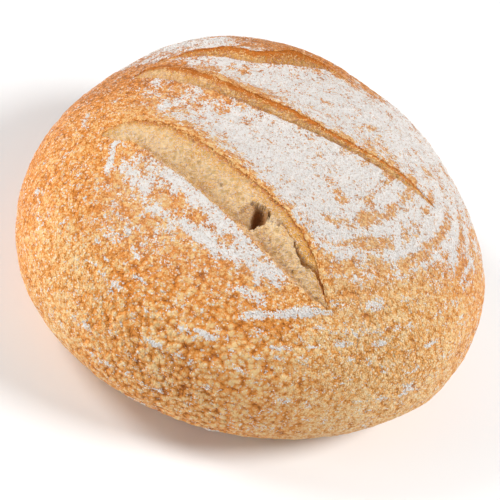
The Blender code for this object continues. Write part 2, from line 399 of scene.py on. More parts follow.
def crustSurface():
    # points in millimetres, faces, and for each slash the point numbers along its lip and its ear
    columns = crustMesh["sideColumns"]
    angle = 2 * math.pi * np.arange(columns) / columns
    reach = loafShape["shoulder"] * planRadius(angle)
    x, y = reach * np.cos(angle), reach * np.sin(angle)
    points = [np.stack([x, y, domeHeight(x, y) + liftOfOthers(x, y)], 1)]
    edges = [(k, (k + 1) % columns) for k in range(columns)]
    total = columns
    rims = []
    for slash in slashes:
        height = domeHeight(*slash.lip.T) + liftOfOthers(*slash.lip.T, slash) + slash.lipLift
        lip = np.column_stack([slash.lip, height])
        height = domeHeight(*slash.ear.T) + liftOfOthers(*slash.ear.T, slash) + slash.rise
        ear = np.column_stack([slash.ear, height])
        lipLine = np.arange(total, total + len(lip))
        earLine = np.concatenate([[lipLine[0]], np.arange(len(lip) - 2) + lipLine[-1] + 1, [lipLine[-1]]])
        points += [lip, ear[1:-1]]
        total = earLine[-2] + 1
        for line in (lipLine, earLine):
            edges += list(zip(line[:-1].tolist(), line[1:].tolist()))
        rims.append((slash, lipLine, earLine))
    x, y = topPlan()
    points.append(np.stack([x, y, domeHeight(x, y) + liftOfOthers(x, y)], 1))
    points = np.concatenate(points)
    flat, _, faces, sources, _, _ = delaunay_2d_cdt([Vector(p[:2]) for p in points], edges, [], 0, 1e-7)
    if len(flat) != len(points):
        raise ValueError("two points of the top coincide")
    order = np.array([source[0] for source in sources])
    faces = order[np.array(faces)]
    middle = points[faces].mean(1)
    open_ = np.zeros(len(faces), bool)
    for slash in slashes:
        open_ |= slash.holds(middle[:, 0], middle[:, 1])
    faces = faces[~open_]
    corner = points[faces]
    area = np.cross(corner[:, 1, :2] - corner[:, 0, :2], corner[:, 2, :2] - corner[:, 0, :2])
    faces[area < 0] = faces[area < 0][:, ::-1]
    return points, faces.tolist(), rims


def makeCrust():
    points, faces, rims = crustSurface()
    points = [points]
    count = len(points[0])
    cutSide = [np.zeros(count)]
    length = [np.interp(np.hypot(*points[0][:, :2].T) / planRadius(np.arctan2(points[0][:, 1], points[0][:, 0])), crustShare[:721], crustLength[:721])]

    # The torn edges roll over into the openings.
    for slash, lipLine, earLine in rims:
        shrink = np.clip(slash.width / 4, 0, 1)[1:-1, None]
        for line, roll, side in ((lipLine, crustMesh["lipRoll"], 1), (earLine, crustMesh["earRoll"], -1)):
            edge = points[0][line]
            above = list(line)
            for inward, drop in roll:
                row = edge[1:-1].copy()
                row[:, :2] += side * inward * shrink * slash.across[1:-1]
                row[:, 2] += drop * shrink[:, 0]
                below = [line[0]] + list(range(count, count + len(row))) + [line[-1]]
                for k in range(len(line) - 1):
                    a, b, c, d = above[k], above[k + 1], below[k + 1], below[k]
                    ring = [v for n, v in enumerate((a, b, c, d)) if v not in (a, b, c, d)[:n]]
                    if len(ring) > 2:
                        faces.append(ring if side == 1 else ring[::-1])
                points.append(row)
                cutSide.append(np.ones(len(row)))
                length.append(np.full(len(row), 40.0))
                count += len(row)
                above = below

    # The side runs down from the shoulder, ring under ring, and closes under the base.
    columns = crustMesh["sideColumns"]
    angle = 2 * math.pi * np.arange(columns) / columns
    start = np.interp(loafShape["shoulder"], crustShare[:721], crustLength[:721])
    rows = round((crustLength[-1] - start) / crustMesh["sideStep"])
    lobed = planRadius(angle)
    above = np.arange(columns)
    for run in np.linspace(start, crustLength[-1], rows + 1)[1:]:
        share, height = np.interp(run, crustLength, crustShare), np.interp(run, crustLength, crustHeight)
        below = max(0.0, 1 - height / loafShape["bellyHeight"])
        reach = share * (lobed + (loafShape["planRadius"] - lobed) * loafShape["baseEvenness"] * below)
        x, y = reach * np.cos(angle), reach * np.sin(angle)
        row = np.stack([x, y, settled(x, y, np.full(columns, height))], 1)
        ring = np.arange(count, count + columns)
        faces += np.stack([above, ring, np.roll(ring, -1), np.roll(above, -1)], 1).tolist()
        points.append(row)
        cutSide.append(np.zeros(columns))
        length.append(np.full(columns, run))
        count += columns
        above = ring
    rim = points[-1]
    for k in range(1, crustMesh["baseRings"]):
        row = rim * (1 - k / crustMesh["baseRings"])
        ring = np.arange(count, count + columns)
        faces += np.stack([above, ring, np.roll(ring, -1), np.roll(above, -1)], 1).tolist()
        points.append(row)
        cutSide.append(np.zeros(columns))
        length.append(np.full(columns, crustLength[-1] + 14.0 * k))
        count += columns
        above = ring
    points.append(np.zeros((1, 3)))
    cutSide.append(np.zeros(1))
    length.append(np.full(1, crustLength[-1] + 90))
    faces += [[int(a), count, int(b)] for a, b in zip(above, np.roll(above, -1))]
    return np.concatenate(points), faces, np.concatenate(cutSide), np.concatenate(length)


def meshObject(name, points, faces, values):
    data = bpy.data.meshes.new(name)
    data.from_pydata(((points - planMiddle) * mm).tolist(), [], faces)
    for label, row in values.items():
        kind = "FLOAT_VECTOR" if row.ndim == 2 else "FLOAT"
        attribute = data.attributes.new(label, kind, "POINT")
        attribute.data.foreach_set("vector" if row.ndim == 2 else "value", row.astype(np.float32).ravel())
    data.shade_smooth()
    made = bpy.data.objects.new(name, data)
    bpy.context.scene.collection.objects.link(made)
    return made


flourPlan = {
    "ringMiddle": (8, 3),
    "firstRing": 59.6,  # length along the crust from the crown to one of the rings
    "ringPitch": 12.0,
    "frontShift": 6.0,  # how far the front slash has pushed its panel's rings outwards
    # soft drifts: x, y, half length, half width, turn, strength, how deep the coils' gaps cut in
    "drifts": (
        (-2, 42, 96, 30, -6, 0.76, 0.12),
        (66, 56, 62, 46, -35, 0.7, 0.35),
        (9, -14, 37, 29, -28, 1.15, 0.26),
        (-34, -6, 36, 18, -14, 0.37, 0.12),
        (-64, 3, 22, 20, -10, 0.28, 0.2),
        (52, -22, 42, 34, 10, 1.0, 0.9),
        (88, -2, 26, 22, 0, 0.6, 0.6),
        (-50, 78, 42, 30, 25, 0.80, 0.2),
        (-34, -54, 17, 4.2, -26, 0.76, 0.0),
        (-15, -66, 18, 4.7, -25, 0.8, 0.0),
        (-18, -74.5, 19, 3.4, -16, 0.8, 0.0),
        (-20, -66, 32, 13, -22, 0.31, 0.3),
        (14, -43, 28, 13, -36, 0.95, 0.4),
        (-30, -24, 34, 12, -24, 0.5, 0.2),
        (-52, -50, 15, 12, -20, 0.62, 0.3),
        (-56, -66, 22, 14, -35, 0.42, 0.4),
        (9, -77, 14, 6, -16, 0.62, 0.1),
        (-32, -83, 40, 10, -8, 0.28, 0.3),
        (54, -68, 18, 14, -40, 0.28, 0.4),
    ),
    # streaks: x, y, half length, half width, turn, strength
    "streaks": (
        (-73.5, -45, 9, 1.7, -81, 0.9), (-63, -52, 8, 2.4, -72, 0.6), (28, -73.5, 9, 1.8, -22, 0.5),
        (-57, -62, 5, 2.5, -35, 0.4), (7, -88, 10, 1.5, 9, 0.75), (26, -89, 21, 1.6, 24, 1.0),
        (43, -93, 4, 0.75, 24, 0.9), (29, -99, 6, 0.68, 18, 0.92), (56, -86, 6, 0.68, 28, 0.82),
        (70, -78.5, 5, 0.83, 35, 0.92), (15, -109, 4, 0.68, 8, 0.92), (7, -104, 3, 0.6, 8, 0.82),
        (96, -60, 4, 0.68, 55, 0.87), (-52, -79.5, 4, 0.83, -35, 0.9), (-46, -86.5, 4.5, 0.83, -38, 0.92),
        (-63.6, -84, 2, 0.83, -40, 0.92), (-23, -111, 5, 0.75, -10, 1.0), (-5, -105.5, 6, 0.68, 2, 0.9),
        (-57, -90, 2.5, 0.75, -35, 0.72), (-63, -62, 5, 0.6, -60, 0.82), (-38, -96, 4, 0.6, -20, 0.82),
        (92.5, -10, 18, 2.6, 93, 0.9), (103, -19, 11, 1.6, 80, 0.7), (79, -30, 5, 2.5, 70, 0.5),
    ),
    "everywhere": 0.12,
    "most": 0.8,
    "sides": (16, 46),  # the heights between which the drifts fade out
    # where the crust stays bare: x, y, half length, half width, turn, strength
    "bare": ((-8, 84, 48, 25, 0, 0.92), (-77, 26, 13, 8, 10, 0.8), (30, -27, 9, 4.5, -30, 0.5), (46, -30, 4, 10, -15, 0.45), (-88, -6, 14, 30, 0, 0.6)),
    "leftInGaps": 0.46,
    "ringDust": 0.34,  # what is left along the rings outside the drifts
}


def ripple(points, size, seed):
    # a smooth field from about -1 to 1, its lumps a given distance apart
    total = np.zeros(len(points))
    for k in range(7):
        turn, tilt = 2.4 * k + 0.7 * seed, 0.9 * k + 1.3 * seed
        way = np.array([math.cos(turn) * math.cos(tilt), math.sin(turn) * math.cos(tilt), math.sin(tilt)])
        wave = size * (0.7 + 0.13 * k)
        total += np.sin(2 * math.pi * points @ way / wave + 2.1 * k + 5.3 * seed)
    return total / 2.6


def turnedOval(x, y, place):
    px, py, halfLength, halfWidth, turn = place
    c, s = math.cos(math.radians(turn)), math.sin(math.radians(turn))
    return ((x - px) * c + (y - py) * s) / halfLength, ((y - py) * c - (x - px) * s) / halfWidth


def coilNumber(points, length):
    # which ring of the basket's cane a point touched
    x, y = points[:, 0], points[:, 1]
    share = np.hypot(x, y) / planRadius(np.arctan2(y, x))
    middle = np.clip((1 - share) / 0.4, 0, 1)[:, None] * np.array(flourPlan["ringMiddle"])
    rx, ry = (points[:, :2] - middle).T
    ringShare = np.hypot(rx, ry) / planRadius(np.arctan2(ry, rx))
    onTop = np.interp(ringShare, crustShare[:721], crustLength[:721])
    length = np.where(length < crustLength[720], np.minimum(onTop, crustLength[720]), length)
    front = slashes[0]
    gap, place = front.nearest(front.lip, x, y)
    inFront = (y < front.at(front.lip[:, 1], place)) * np.clip(front.at(front.width, place) / 12, 0, 1)
    length = length - flourPlan["frontShift"] * inFront * np.exp(-((gap / 45) ** 2))
    return (length - flourPlan["firstRing"]) / flourPlan["ringPitch"]


def flourValues(points, length):
    x, y = points[:, 0], points[:, 1]
    coil = coilNumber(points, length)
    wave = 0.5 + 0.5 * np.cos(2 * math.pi * (coil + 0.07 * ripple(points, 19, 1) + 0.04 * ripple(points, 7, 2)))
    bare, clear = np.ones(len(x)), np.ones(len(x))
    for *place, strength, gapDepth in flourPlan["drifts"]:
        u, v = turnedOval(x, y, place)
        cover = np.clip(strength * np.exp(-((u**2 + v**2) ** 1.6)), 0, 1)
        bare *= 1 - cover * (1 - gapDepth * (1 - wave) ** 1.3)
        clear *= 1 - cover
    low, high = flourPlan["sides"]
    dusty = np.clip((points[:, 2] + 5 * ripple(points, 24, 10) - low) / (high - low), 0, 1)
    dust, veil = (1 - bare) * dusty, (1 - clear) * dusty
    for *place, strength in flourPlan["bare"]:
        u, v = turnedOval(x, y, place)
        cleared = 1 - strength * np.exp(-((u**2 + v**2) ** 2))
        dust *= cleared
        veil *= 0.4 + 0.6 * cleared
    dust = np.maximum(dust, flourPlan["leftInGaps"] * veil)
    for *place, strength in flourPlan["streaks"]:
        u, v = turnedOval(x, y, place)
        dust = np.maximum(dust, strength * np.exp(-(u**4 + v**2)))
    broken = np.clip(ripple(points, 21, 3) * 0.8 + ripple(points, 6, 4) * 0.6, 0, 1)
    along = flourPlan["ringDust"] * wave**6 * broken
    under = np.clip((crustLength[-1] - 25 - length) / 20, 0, 1)
    dust = np.maximum(dust, (flourPlan["everywhere"] + along) * under)
    thick = np.clip(dust * 3, 0, 1)
    dust = dust * 1.06 + thick * (0.09 * ripple(points, 5, 5) + 0.12 * ripple(points, 13, 6))
    return coil, np.minimum(dust, flourPlan["most"]), veil


bakeAreas = {
    "rimWidths": (1.6, 2.8, 9.5),  # how far the browning reaches behind each ear
    # where the crust is pebbly, and where it is paler: x, y, half length, half width, turn, strength
    "pebbly": ((-5, -112, 75, 34, 0, 1.0), (70, -70, 50, 40, -45, 0.5)),
    "pale": ((80, -77, 64, 56, -45, 1.0), (-20, -120, 60, 20, 0, 0.5), (-72, -98, 26, 16, -30, 0.6)),
    "deep": ((-100, 30, 80, 50, 60, 1.3), (10, -84, 60, 14, 8, 0.4), (0, 88, 90, 34, 0, 1.3),
             (-73, 24, 20, 11, 10, 1.5), (-96, -46, 34, 26, -60, 0.6), (-12, -112, 50, 18, 0, 0.3),
             (110, -24, 24, 22, 0, 0.5), (60, -64, 18, 14, -40, 0.25)),
    "pebblyElsewhere": 0.4,
}


def edgeValues(points, cutSide):
    x, y = points[:, 0], points[:, 1]
    ear, lip = np.zeros(len(x)), np.zeros(len(x))
    for slash, rimWidth in zip(slashes, bakeAreas["rimWidths"]):
        gap, place = slash.nearest(slash.ear, x, y)
        behind = y > slash.at(slash.ear[:, 1], place) - 1.5
        strong = np.clip(slash.at(slash.rise, place) / 4, 0, 1)
        ear = np.maximum(ear, behind * strong * np.exp(-gap / rimWidth))
        gap, place = slash.nearest(slash.lip, x, y)
        strong = np.clip(slash.at(slash.depth, place) / 2, 0, 1)
        lip = np.maximum(lip, strong * np.exp(-gap / 0.8))
    return ear, lip


def bakeValues(points):
    found = []
    for kind, least in (("pebbly", bakeAreas["pebblyElsewhere"]), ("pale", 0.0), ("deep", 0.0)):
        value = np.full(len(points), least)
        for *place, strength in bakeAreas[kind]:
            u, v = turnedOval(points[:, 0], points[:, 1], place)
            value = np.maximum(value, strength * np.exp(-(u**2 + v**2)))
        found.append(value)
    return found


reliefSizes = {
    "Swell": 1.1,  # millimetres
    "Lump": 0.5,
    "Blister": 0.75,
    "Pebble": 0.3,
    "Coil": 0.4,
    "Flour": 0.3,
}


def reliefTree(name, sizes, reliefOf):
    tree = bpy.data.node_groups.new(name, "GeometryNodeTree")
    tree.is_modifier = True
    face = tree.interface
    face.new_socket("Geometry", in_out="INPUT", socket_type="NodeSocketGeometry")
    for label, value in sizes.items():
        socket = face.new_socket(label, in_out="INPUT", socket_type="NodeSocketFloat")
        socket.default_value = value
    face.new_socket("Geometry", in_out="OUTPUT", socket_type="NodeSocketGeometry")
    net = Net(tree)
    given = tree.nodes.new("NodeGroupInput")
    wires = {socket.name: Wire(net, socket) for socket in given.outputs if socket.name}

    def named(label, kind="FLOAT"):
        return net.add("GeometryNodeInputNamedAttribute", {"data_type": kind}, {"Name": label})

    offset = reliefOf(net, wires, named) * mm
    moved = net.add("GeometryNodeSetPosition", {}, {"Geometry": wires["Geometry"], "Offset": offset})
    result = tree.nodes.new("NodeGroupOutput")
    tree.links.new(moved.socket, result.inputs[0])
    return tree


def broadRelief(net, wires, rest):
    # the unevenness that crust and crumb share, so that their edges stay together
    swell = (net.noise(rest, 38.0, 1.0) - 0.5) * 2
    lump = (net.noise(rest, 11.0, 2.0) - 0.5) * 2
    radius, rise = loafShape["planRadius"], loafShape["domeRise"]
    outwards = (rest - (0.0, 0.0, loafShape["bellyHeight"])) * (radius**-2, radius**-2, rise**-2)
    outwards = net.add("ShaderNodeVectorMath", {"operation": "NORMALIZE"}, {0: outwards})
    aboveBase = net.add("ShaderNodeSeparateXYZ", {}, {0: rest}, "Z").eased(0.5, 11.0)
    return outwards * ((swell * wires["Swell"] + lump * wires["Lump"]) * aboveBase), aboveBase


def crustRelief(net, wires, named):
    rest = named("rest", "FLOAT_VECTOR")
    big, tint = pebbleCells(net, rest, pebbles["bigSize"])
    small, _ = pebbleCells(net, rest, pebbles["smallSize"])
    strong = named("pebbly") * (0.4 + tint * 0.9)
    turn = named("coil") * (2 * math.pi)
    wave = net.add("ShaderNodeMath", {"operation": "COSINE"}, {0: turn})
    broad, aboveBase = broadRelief(net, wires, rest)
    total = wave * 0.5 * wires["Coil"]
    total = total + (big - 0.5) * strong * wires["Blister"] + (small - 0.5) * named("pebbly") * wires["Pebble"]
    total = total + named("dust") * wires["Flour"]
    whole = (1 - named("ear").atLeast(named("lip"))) * (1 - named("cutSide")) * aboveBase
    return net.add("GeometryNodeInputNormal") * (total * whole) + broad


def applied(made, tree, values):
    modifier = made.modifiers.new(tree.name, "NODES")
    modifier.node_group = tree
    for item in tree.interface.items_tree:
        if item.in_out == "INPUT" and item.name in values:
            modifier[item.identifier] = values[item.name]
    graph = bpy.context.evaluated_depsgraph_get()
    data = bpy.data.meshes.new_from_object(made.evaluated_get(graph))
    made.modifiers.clear()
    old = made.data
    made.data = data
    bpy.data.meshes.remove(old)
    data.name = made.name
    return made


crustColours = {
    "cream": colour(1.0, 0.66, 0.29),  # the tops of blisters
    "straw": colour(1.0, 0.70, 0.36),  # the same where the crust is paler
    "amber": colour(0.87, 0.29, 0.04),
    "tan": colour(0.83, 0.36, 0.08),
    "brown": colour(0.5, 0.145, 0.02),
    "flour": colour(1.0, 0.95, 0.91),
    "dullFlour": colour(0.78, 0.62, 0.51),
    "thinFlour": colour(0.57, 0.29, 0.15),
    "glint": colour(1.0, 0.86, 0.64),
}


def newMaterial(name):
    material = bpy.data.materials.new(name)
    material.use_nodes = True
    material.node_tree.nodes.clear()
    return material, Net(material.node_tree)


def finishNet(net, sockets):
    shader = net.add("ShaderNodeBsdfPrincipled", {}, sockets)
    net.add("ShaderNodeOutputMaterial", {}, {"Surface": shader})


def crustFinish():
    material, net = newMaterial("crust")

    def value(label, out=2):
        return net.add("ShaderNodeAttribute", {"attribute_name": label}, {}, out)

    rest = value("rest", 1)
    dust, veil, ear, lip, pebbly, pale, deep = (
        value(label) for label in ("dust", "veil", "ear", "lip", "pebbly", "pale", "deep")
    )
    big, bigTint = pebbleCells(net, rest, pebbles["bigSize"])
    small, smallTint = pebbleCells(net, rest, pebbles["smallSize"])
    grain, grainTint = pebbleCells(net, rest, pebbles["grainSize"])
    tone = net.uneven(rest, 26.0)
    mottle = net.uneven(rest, 4.5, 4.0, 0.62)
    fine = net.uneven(rest, 1.4, 3.0, 0.7)
    sand = net.uneven(rest, 0.7, 1.0)
    grit = (fine * 0.26 + sand * 0.14 + (grainTint - 0.5) * 0.3) * (1.3 - pebbly * 0.95)
    # pebbly * 0.2 makes the pebbly lower front darker: partly its deeper browning, partly painted shade where less
    # light falls
    bake = 0.45 + tone * 0.08 + mottle * 0.13 + grit + pebbly * 0.2 + deep * 0.6
    # darker between the blisters and lighter on their tops: partly the crust's own browning, partly painted shade
    # in the valleys
    bake = bake + (0.5 - big) * pebbly * 0.5 + (0.57 - small) * (0.3 + pebbly * 1.15)
    light = net.mix(pale, crustColours["cream"], crustColours["straw"])
    dark = net.mix(pale, crustColours["amber"], crustColours["tan"])
    base = net.mix(bake.eased(-0.05, 1.05), light, dark)
    base = net.mix((bake + ear * 0.6 + lip * 0.5).eased(1.0, 1.9), base, crustColours["brown"])
    glint = (grainTint.beside("Y") - 0.84).eased(0.0, 0.06) * grain.eased(0.2, 0.7) * (1 - ear)
    base = net.mix(glint * 0.7, base, crustColours["glint"])
    flour = flourOn(net, rest, dust - ear * 0.6 - lip * 0.1, grainTint)
    base = net.mix((veil * (0.55 + fine * 0.2) - ear * 0.5).clamped(), base, crustColours["thinFlour"])
    powder = net.mix((fine * 0.35 + sand * 0.3 - 0.25).clamped(), crustColours["flour"], crustColours["dullFlour"])
    dusted = net.mix(flour, base, powder)
    height = small * (0.25 + pebbly * 0.9) + grain * 0.16 + fine * 0.09 + sand * 0.05 + mottle * 0.05
    height = height + flour * (0.12 + grainTint * 0.2 + fine * 0.08 - small * 0.2)
    bump = net.add("ShaderNodeBump", {}, {"Strength": 1.0, "Distance": mm, "Height": height})
    rough = 0.52 + flour * 0.4
    finishNet(net, {"Base Color": dusted, "Roughness": rough, "Normal": bump, "Specular IOR Level": 0.15})
    return material


crumbColours = {
    "pale": colour(1.0, 0.70, 0.375),
    # painted shade: the valley behind the lip, the wall behind the crevice and the pores
    "olive": colour(0.68, 0.385, 0.115),
    "golden": colour(0.85, 0.42, 0.085),
    "toast": colour(0.66, 0.2, 0.03),
    # painted shade deep in the air holes and the crevice
    "hollow": colour(0.42, 0.18, 0.06),
    "sheen": colour(1.0, 0.91, 0.79),
}


def crumbFinish():
    material, net = newMaterial("crumb")
    rest = net.add("ShaderNodeAttribute", {"attribute_name": "rest"}, {}, 1)
    golden, olive, toast, pit = (
        net.add("ShaderNodeAttribute", {"attribute_name": label}, {}, 2)
        for label in ("golden", "olive", "toast", "pit")
    )
    patch = net.uneven(rest, 7.0, 3.0)
    fine = net.uneven(rest, 1.4, 3.0, 0.7)
    sand = net.uneven(rest, 0.7, 1.0)
    grain, tint = pebbleCells(net, rest, pebbles["grainSize"])
    pore, poreTint = pebbleCells(net, rest, 2.4)
    rough = patch * 0.16 + fine * 0.3 + sand * 0.28 + (tint - 0.5) * 0.5
    # painted shade laid over the pale crumb
    base = net.mix((olive + rough + 0.18).eased(-0.1, 1.1), crumbColours["pale"], crumbColours["olive"])
    base = net.mix((golden + rough * 0.7).eased(0.0, 0.95), base, crumbColours["golden"])
    base = net.mix((toast + rough * 0.95).eased(0.2, 1.3), base, crumbColours["toast"])
    sheen = (sand - 0.65 + tint * 0.5).eased(0.0, 0.7) * (0.6 - toast * 0.5).clamped()
    base = net.mix(sheen, base, crumbColours["sheen"])
    # the pores painted darker, as shade
    spot = (poreTint - 0.68).eased(0.0, 0.08) * pore.eased(0.45, 0.95)
    base = net.mix(spot * 0.55, base, crumbColours["olive"])
    # painted shade, darker the deeper the hole or crevice
    base = net.mix(pit.clamped(), base, crumbColours["hollow"])
    height = fine * 0.1 + sand * 0.07 + grain * 0.16 - spot * 0.25
    bump = net.add("ShaderNodeBump", {}, {"Strength": 1.0, "Distance": mm, "Height": height})
    finishNet(net, {"Base Color": base, "Roughness": 0.75, "Normal": bump, "Specular IOR Level": 0.12})
    return material


crumbMesh = {
    "step": 0.42,
    "under": 1.5,  # how far it runs under the lip and the ear
    "lipDrop": 0.15,
    "earDrop": 0.15,
    # how much of each slash's crumb is golden and how much of it is toasted
    "golden": {"front": 0.33, "middle": 0.6, "back": 1.0},
    "toast": {"front": 0.0, "middle": 0.9, "back": 1.35},
    # air holes: x, y, half length, half width, turn in degrees, depth, how far the deep end is to the right
    "holes": (
        (-2.6, -58.8, 7.4, 4.5, 12, 8.0, 1.7),
        (7.6, -59.2, 2.6, 1.4, -14, 2.2, 0.3),
        (-40.2, -33.4, 2.4, 1.0, -32, 1.3, 0.0),
        (-33.6, -43.6, 2.2, 1.0, -25, 1.1, 0.0),
        (-28.5, -46.3, 2.2, 0.8, -28, 1.0, 0.0),
        (-22.6, -49.5, 0.9, 0.6, -25, 1.8, 0.0),
        (-21.0, -50.2, 0.6, 0.5, -25, 1.6, 0.0),
        (-51.4, -38.2, 0.7, 0.5, 0, 1.0, 0.0),
        (-31.4, -40.4, 0.9, 0.6, 0, 1.0, 0.0),
        (-55.0, 16.5, 1.4, 1.0, -10, 1.8, 0.0),
    ),
    # swellings: x, y, half length, half width, turn, height
    "swellings": ((20, -69.5, 19, 4.6, -27, 2.2), (-2, -64.8, 8, 1.6, -16, 0.7), (-60, -33, 15, 4, -12, 0.5)),
    # where more or less painted shade is put on the crumb: x, y, half length, half width, turn, strength
    "paintedShades": ((-37, -36, 22, 14, -28, 0.45), (28, -69, 24, 14, -27, -0.35)),
    # thin skins across the hole: from x, y to x, y, half width, height
    "skins": ((2.6, -55.9, 4.1, -60.4, 0.45, 3.5), (6.3, -57.4, 7.8, -61.0, 0.5, 1.5)),
    # the crevice behind the swelling: x, y, half width, depth
    "crevice": (
        (10.8, -58.9, 0.6, 1.2), (14.0, -61.3, 0.45, 1.2), (16.2, -63.1, 0.5, 1.4), (18.8, -64.8, 0.5, 1.6),
        (21.1, -67.3, 0.8, 2.4), (23.6, -69.4, 0.9, 3.0), (26.3, -70.9, 1.3, 3.6), (29.6, -71.2, 1.0, 3.2),
        (32.2, -72.0, 0.8, 2.8), (34.3, -73.0, 1.0, 3.0), (37.0, -74.8, 0.8, 2.4), (39.8, -76.8, 0.5, 1.4),
    ),
}


def crumbFaces(rows, columns, first):
    grid = np.arange(rows * columns).reshape(rows, columns) + first
    a, b, c, d = grid[:-1, :-1], grid[1:, :-1], grid[1:, 1:], grid[:-1, 1:]
    return np.stack([a, b, c, d], -1).reshape(-1, 4).tolist()


def crumbDetails(x, y):
    # height to add, how deep in a hollow, and how far behind the crevice
    height, hollow, behind = np.zeros(len(x)), np.zeros(len(x)), np.zeros(len(x))
    flat = np.column_stack([x, y, 0 * x])
    for *place, rise in crumbMesh["swellings"]:
        u, v = turnedOval(x, y, place)
        height += rise * np.exp(-((u**2 + v**2) ** 1.4))
    for *place, depth, lean in crumbMesh["holes"]:
        u, v = turnedOval(x, y, place)
        ragged = 1 + 0.05 * ripple(flat, 2.2, 7) + 0.10 * ripple(flat, 5.0, 8)
        inside = np.clip(1 - (u**2 + v**2) * ragged**2, 0, None)
        hollow = np.maximum(hollow, depth * inside**0.22 * np.clip(0.42 + lean * u, 0.17, 1.0))
    stations = crumbMesh["crevice"]
    for (ax, ay, halfA, deepA), (bx, by, halfB, deepB) in zip(stations, stations[1:]):
        square = (bx - ax) ** 2 + (by - ay) ** 2
        free = ((x - ax) * (bx - ax) + (y - ay) * (by - ay)) / square
        t = np.clip(free, 0, 1)
        off = np.hypot(x - ax - t * (bx - ax), y - ay - t * (by - ay))
        half = halfA + (halfB - halfA) * t + 0.2 * ripple(flat, 1.9, 9)
        hollow = np.maximum(hollow, (deepA + (deepB - deepA) * t) * np.clip(1 - (off / half) ** 2, 0, None) ** 0.6)
        side = ((bx - ax) * (y - ay) - (by - ay) * (x - ax)) / math.sqrt(square)
        near = np.clip(1 - np.abs(free - 0.5) / 2.5, 0, 1) * (off < 9)
        behind = np.maximum(behind, near * np.clip(side / 1.2, 0, 1))
    skin = np.zeros(len(x))
    for ax, ay, bx, by, half, rise in crumbMesh["skins"]:
        t = np.clip(((x - ax) * (bx - ax) + (y - ay) * (by - ay)) / ((bx - ax) ** 2 + (by - ay) ** 2), 0, 1)
        off = np.hypot(x - ax - t * (bx - ax), y - ay - t * (by - ay)) / half
        skin = np.maximum(skin, rise * np.exp(-(off**2)))
    return height + np.minimum(skin, hollow), np.clip(hollow - skin, 0, None), hollow, behind


def makeCrumb():
    points, faces = [], []
    values = {"golden": [], "olive": [], "toast": [], "pit": [], "loose": []}
    first = 0
    for name, slash in zip(slashCuts, slashes):
        rows = round(slash.length / crumbMesh["step"]) + 1
        place = np.linspace(0, slash.count, rows)
        lip, ear, normal = (
            np.stack([slash.at(edge[:, k], place) for k in (0, 1)], 1)
            for edge in (slash.lip, slash.ear, slash.across)
        )
        lift, rise, depth = (slash.at(row, place)[:, None] for row in (slash.lipLift, slash.rise, slash.depth))
        width = np.hypot(*(ear - lip).T)[:, None]
        under = crumbMesh["under"]
        columns = round((slash.width.max() + 2 * under) / crumbMesh["step"]) + 1
        c = np.linspace(0, 1, columns)[None, :] * (width + 2 * under) - under
        v = np.clip(c / np.maximum(width, 0.01), 0, 1)
        beyond = np.minimum(c, 0) + np.maximum(c - width, 0)
        xy = lip[:, None] + (ear - lip)[:, None] * v[..., None] + normal[:, None] * beyond[..., None]
        x, y = xy[..., 0].ravel(), xy[..., 1].ravel()
        share = v / openingShape["valleyAt"]
        height = lift - crumbMesh["lipDrop"] * np.exp(-v * width)
        height = height + (rise - crumbMesh["earDrop"] - lift) * v**1.2
        height -= depth * share * np.exp(1 - share)
        height += openingShape["bulge"] * np.sin(math.pi * v) ** 2 * np.clip(depth / 1.4, 0, 1)
        height -= 0.6 * np.abs(beyond)
        more, hollow, _, behind = crumbDetails(x, y)
        open_ = np.clip(np.minimum(v, 1 - v) * width / 1.2, 0, 1).ravel()
        z = domeHeight(x, y) + liftOfOthers(x, y, slash) + height.ravel() + (more - hollow) * open_
        points.append(np.stack([x, y, z], 1))
        faces += crumbFaces(rows, columns, first)
        fromEar = ((1 - v) * width).ravel()
        fromLip = (v * width).ravel()
        wide = np.clip(width / 6, 0.25, 1).repeat(columns, 1).ravel()
        golden = np.exp(-((fromEar / (7.5 * wide)) ** 2)) + 0.55 * behind
        values["golden"].append(np.maximum(golden, crumbMesh["golden"][name]))
        values["toast"].append(np.exp(-((fromEar / (2.1 * wide)) ** 2)) + crumbMesh["toast"][name] * v.ravel())
        # painted shade in the valley just behind the lip and on the wall behind the crevice, less of it on the
        # swellings
        olive = 0.62 * np.exp(-(((fromLip - 2) / (3.2 * wide)) ** 2)) + 0.3 * behind
        for *oval, strength in crumbMesh["paintedShades"]:
            u, w = turnedOval(x, y, oval)
            olive += strength * np.exp(-(u**2 + w**2))
        values["olive"].append(olive - 0.7 * more * (1 - behind))
        # painted shade by the depth of the holes and the crevice
        values["pit"].append(np.clip(hollow * open_ / 5.5, 0, 1))
        values["loose"].append(open_)
        first += rows * columns
    return np.concatenate(points), faces, {label: np.concatenate(rows) for label, rows in values.items()}


crumbSizes = {"Swell": reliefSizes["Swell"], "Lump": reliefSizes["Lump"], "Knob": 0.45, "Fibre": 0.3, "Pore": 0.6}


def crumbRelief(net, wires, named):
    rest = named("rest", "FLOAT_VECTOR")
    knob = (net.noise(rest, 6.0, 2.0) - 0.5) * 2
    fibre = (net.noise(rest * (0.35, 1.0, 1.0), 1.6, 2.0) - 0.5) * 2
    pore, _ = pebbleCells(net, rest, 3.4)
    own = knob * wires["Knob"] + fibre * wires["Fibre"] - (pore - 0.75).clamped() * 4 * wires["Pore"]
    return net.add("GeometryNodeInputNormal") * (own * named("loose")) + broadRelief(net, wires, rest)[0]


points, faces, cutSide, length = makeCrust()
coil, dust, veil = flourValues(points, length)
ear, lip = edgeValues(points, cutSide)
pebbly, pale, deep = bakeValues(points)
crust = meshObject("crust", points, faces, {
    "rest": points, "cutSide": cutSide, "coil": coil, "dust": dust, "veil": veil, "ear": ear, "lip": lip,
    "pebbly": pebbly, "pale": pale, "deep": deep,
})
applied(crust, reliefTree("crustRelief", reliefSizes, crustRelief), reliefSizes)
crust.data.materials.append(crustFinish())
print("crust:", sum(len(face) - 2 for face in faces), "triangles")

flourClumps = {"Density": 560000.0, "Smallest": 0.18, "Largest": 0.46, "Flatness": 0.7, "Seed": 5}


